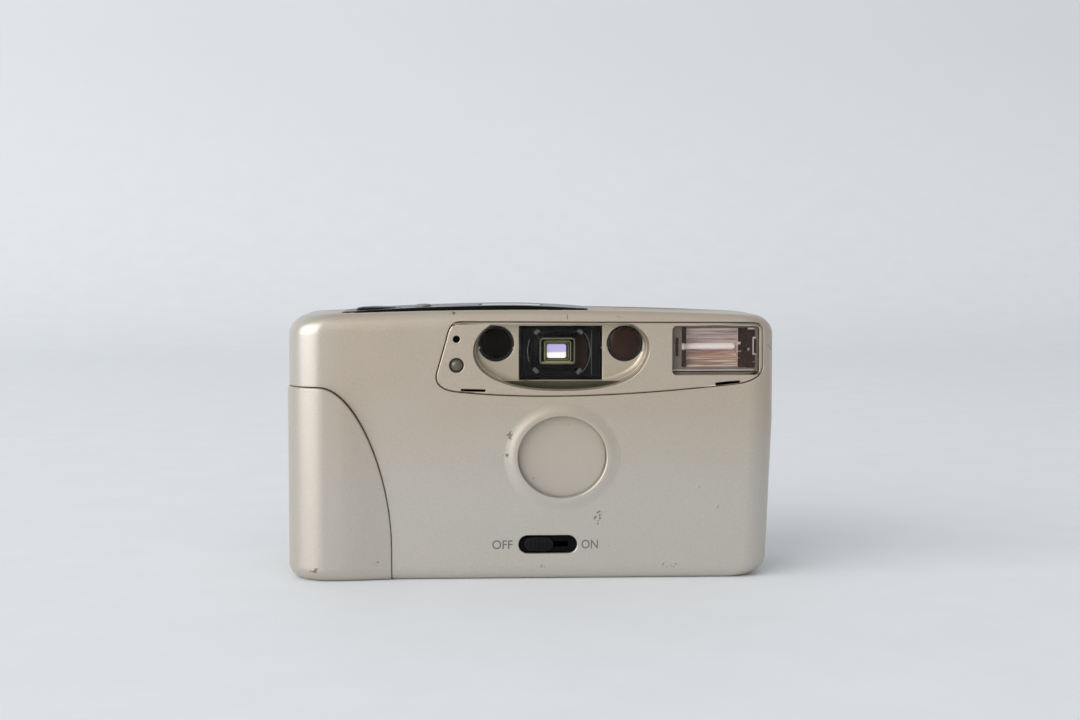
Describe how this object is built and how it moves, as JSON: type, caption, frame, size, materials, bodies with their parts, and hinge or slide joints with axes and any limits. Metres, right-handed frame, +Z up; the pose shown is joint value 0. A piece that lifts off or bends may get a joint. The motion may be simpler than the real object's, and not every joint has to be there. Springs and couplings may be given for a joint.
{
  "type": "compact film camera",
  "caption": "Compact autofocus 35 mm film camera with a sliding power switch, swinging lens cover, built-in flash, grip with battery cover and hinged film door.",
  "frame": {"origin": "centre of the camera's outer box, on the face it stands on", "axes": "+Z up, the lens looks along -Y, +X to the right as seen from the front"},
  "size_m": [0.1206, 0.042, 0.0676],
  "materials": {
    "silver_paint": "satin metallic paint on moulded plastic",
    "grip_paint": "satin metallic paint on moulded plastic",
    "black_plastic": "fine grain",
    "matt_black": "matt",
    "gloss_black": "gloss",
    "grey_plastic": "satin",
    "display": "liquid crystal display behind clear plastic",
    "clear_plastic": "clear moulded acrylic",
    "dark_glass": "dark filter",
    "red_glass": "dark red filter",
    "lens_glass": "coated",
    "reflector": "polished",
    "black_metal": "satin black",
    "steel": "plain",
    "brass": "plain",
    "nylon": "natural",
    "battery_wrap": "printed sleeve, no lettering",
    "capacitor_sleeve": "heat shrink sleeve",
    "circuit_board": "solder mask"
  },
  "bodies": {
    "root": {"front_shell": "silver_paint", "rear_shell": "silver_paint", "door_hinge_pin": "steel", "battery_hinge_pin": "steel", "strap_lug": "silver_paint", "base_screw_1": "steel", "base_screw_2": "steel", "top_cover": "gloss_black", "counter_window": "display", "window_panel": "silver_paint", "clear_window": "clear_plastic", "flash_window": "clear_plastic", "timer_lamp": "clear_plastic", "light_sensor": "dark_glass", "af_lens_left": "dark_glass", "af_lens_right": "red_glass", "viewfinder_housing": "matt_black", "viewfinder_objective": "clear_plastic", "eyepiece_frame": "black_plastic", "eyepiece_lens": "clear_plastic", "flash_reflector": "reflector", "flash_tube": "clear_plastic", "switch_bezel": "black_plastic", "shutter_housing": "matt_black", "main_chassis": "matt_black", "film_motor": "steel", "battery_cell": "battery_wrap", "battery_contact": "brass", "battery_spring": "steel", "flash_capacitor": "capacitor_sleeve", "main_board": "circuit_board", "tripod_socket": "brass"},
    "back_door": {"back_door": "black_plastic", "film_window": "clear_plastic", "date_module": "gloss_black", "pressure_spring": "steel"},
    "pressure_plate": {"pressure_plate": "black_metal"},
    "battery_cover": {"battery_cover": "grip_paint"},
    "shutter_button": {"shutter_button": "gloss_black"},
    "mode_button": {"mode_button": "grey_plastic"},
    "power_slider": {"power_slider": "black_plastic"},
    "lens_cover": {"lens_cover": "silver_paint"},
    "lens_barrel": {"lens_barrel": "matt_black", "lens_front": "lens_glass", "lens_rear": "lens_glass"},
    "shutter_blade_lower": {"shutter_blade_lower": "black_metal"},
    "shutter_blade_upper": {"shutter_blade_upper": "black_metal"},
    "take_up_spool": {"take_up_spool": "black_plastic"},
    "motor_pinion": {"motor_pinion": "brass"},
    "reduction_gear": {"reduction_gear": "nylon"},
    "idler_gear_1": {"idler_gear_1": "nylon"},
    "idler_gear_2": {"idler_gear_2": "nylon"},
    "idler_gear_3": {"idler_gear_3": "nylon"},
    "rewind_fork": {"rewind_fork": "black_plastic"},
    "sprocket_wheel": {"sprocket_wheel": "black_plastic"},
    "door_latch": {"door_latch": "black_plastic"},
    "rewind_button": {"rewind_button": "black_plastic"},
    "date_button_1": {"date_button_1": "grey_plastic"},
    "date_button_2": {"date_button_2": "grey_plastic"},
    "date_button_3": {"date_button_3": "grey_plastic"}
  },
  "joints": [
    {"name": "door_hinge", "type": "hinge", "parent": "root", "child": "back_door", "pos_m": [-0.0577, 0.01646, 0.03025], "axis": [0, 0, 1], "range_deg": [0, 105]},
    {"name": "pressure_plate_give", "type": "slide", "parent": "back_door", "child": "pressure_plate", "axis": [0, 1, 0], "range_m": [0, 0.0004], "stiffness_N_per_m": 400},
    {"name": "battery_cover_hinge", "type": "hinge", "parent": "root", "child": "battery_cover", "pos_m": [-0.05796, 0.001, 0.024], "axis": [0, 0, -1], "range_deg": [0, 65]},
    {"name": "shutter_press", "type": "slide", "parent": "root", "child": "shutter_button", "axis": [0, 0, -1], "range_m": [0, 0.001], "stiffness_N_per_m": 400},
    {"name": "mode_press", "type": "slide", "parent": "root", "child": "mode_button", "axis": [0, 0, -1], "range_m": [0, 0.0005], "stiffness_N_per_m": 300},
    {"name": "power_slide", "type": "slide", "parent": "root", "child": "power_slider", "axis": [1, 0, 0], "range_m": [0, 0.005]},
    {"name": "lens_cover_swing", "type": "hinge", "parent": "root", "child": "lens_cover", "pos_m": [0.00435, -0.016, 0.0121], "axis": [0, -1, 0], "range_deg": [0, 72.7]},
    {"name": "lens_focus", "type": "slide", "parent": "root", "child": "lens_barrel", "axis": [0, -1, 0], "range_m": [0, 0.0005]},
    {"name": "blade_lower_swing", "type": "hinge", "parent": "root", "child": "shutter_blade_lower", "pos_m": [-0.0029, -0.004, 0.03025], "axis": [0, 1, 0], "range_deg": [0, 32], "stiffness_Nm_per_rad": 0.001, "springref_deg": -17.19},
    {"name": "blade_upper_swing", "type": "hinge", "parent": "root", "child": "shutter_blade_upper", "pos_m": [0.0181, -0.004, 0.03025], "axis": [0, 1, 0], "range_deg": [0, 32]},
    {"name": "spool_turn", "type": "hinge", "parent": "root", "child": "take_up_spool", "pos_m": [-0.0286, 0.0023, 0.03], "axis": [0, 0, 1], "continuous": true},
    {"name": "pinion_turn", "type": "hinge", "parent": "root", "child": "motor_pinion", "pos_m": [-0.0286, 0.0023, 0.005], "axis": [0, 0, 1], "continuous": true},
    {"name": "reduction_turn", "type": "hinge", "parent": "root", "child": "reduction_gear", "pos_m": [-0.03145, -0.00833, 0.005], "axis": [0, 0, 1], "continuous": true},
    {"name": "idler_1_turn", "type": "hinge", "parent": "root", "child": "idler_gear_1", "pos_m": [-0.0146, 0.0023, 0.003], "axis": [0, 0, 1], "continuous": true},
    {"name": "idler_2_turn", "type": "hinge", "parent": "root", "child": "idler_gear_2", "pos_m": [0.0054, 0.0023, 0.003], "axis": [0, 0, 1], "continuous": true},
    {"name": "idler_3_turn", "type": "hinge", "parent": "root", "child": "idler_gear_3", "pos_m": [0.0254, 0.0023, 0.003], "axis": [0, 0, 1], "continuous": true},
    {"name": "fork_turn", "type": "hinge", "parent": "root", "child": "rewind_fork", "pos_m": [0.0424, 0.0023, 0.005], "axis": [0, 0, 1], "continuous": true},
    {"name": "sprocket_turn", "type": "hinge", "parent": "root", "child": "sprocket_wheel", "pos_m": [-0.0136, 0.00595, 0.03], "axis": [0, 0, 1], "continuous": true},
    {"name": "latch_slide", "type": "slide", "parent": "root", "child": "door_latch", "axis": [0, 0, -1], "range_m": [0, 0.002], "stiffness_N_per_m": 150},
    {"name": "rewind_press", "type": "slide", "parent": "root", "child": "rewind_button", "axis": [0, 0, 1], "range_m": [0, 0.0005], "stiffness_N_per_m": 300},
    {"name": "date_press_1", "type": "slide", "parent": "back_door", "child": "date_button_1", "axis": [0, -1, 0], "range_m": [0, 0.0004], "stiffness_N_per_m": 300},
    {"name": "date_press_2", "type": "slide", "parent": "back_door", "child": "date_button_2", "axis": [0, -1, 0], "range_m": [0, 0.0004], "stiffness_N_per_m": 300},
    {"name": "date_press_3", "type": "slide", "parent": "back_door", "child": "date_button_3", "axis": [0, -1, 0], "range_m": [0, 0.0004], "stiffness_N_per_m": 300}
  ],
  "couplings": [
    {"joint": "lens_cover_swing", "follows": "power_slide", "rad_per_m": 253.6},
    {"joint": "blade_upper_swing", "follows": "blade_lower_swing", "ratio": 1},
    {"joint": "pinion_turn", "follows": "spool_turn", "ratio": 3.0625},
    {"joint": "reduction_turn", "follows": "spool_turn", "ratio": -1.75},
    {"joint": "idler_1_turn", "follows": "spool_turn", "ratio": -1.225},
    {"joint": "idler_2_turn", "follows": "spool_turn", "ratio": 1.225},
    {"joint": "idler_3_turn", "follows": "spool_turn", "ratio": -1.225},
    {"joint": "fork_turn", "follows": "spool_turn", "ratio": 1.75}
  ]
}
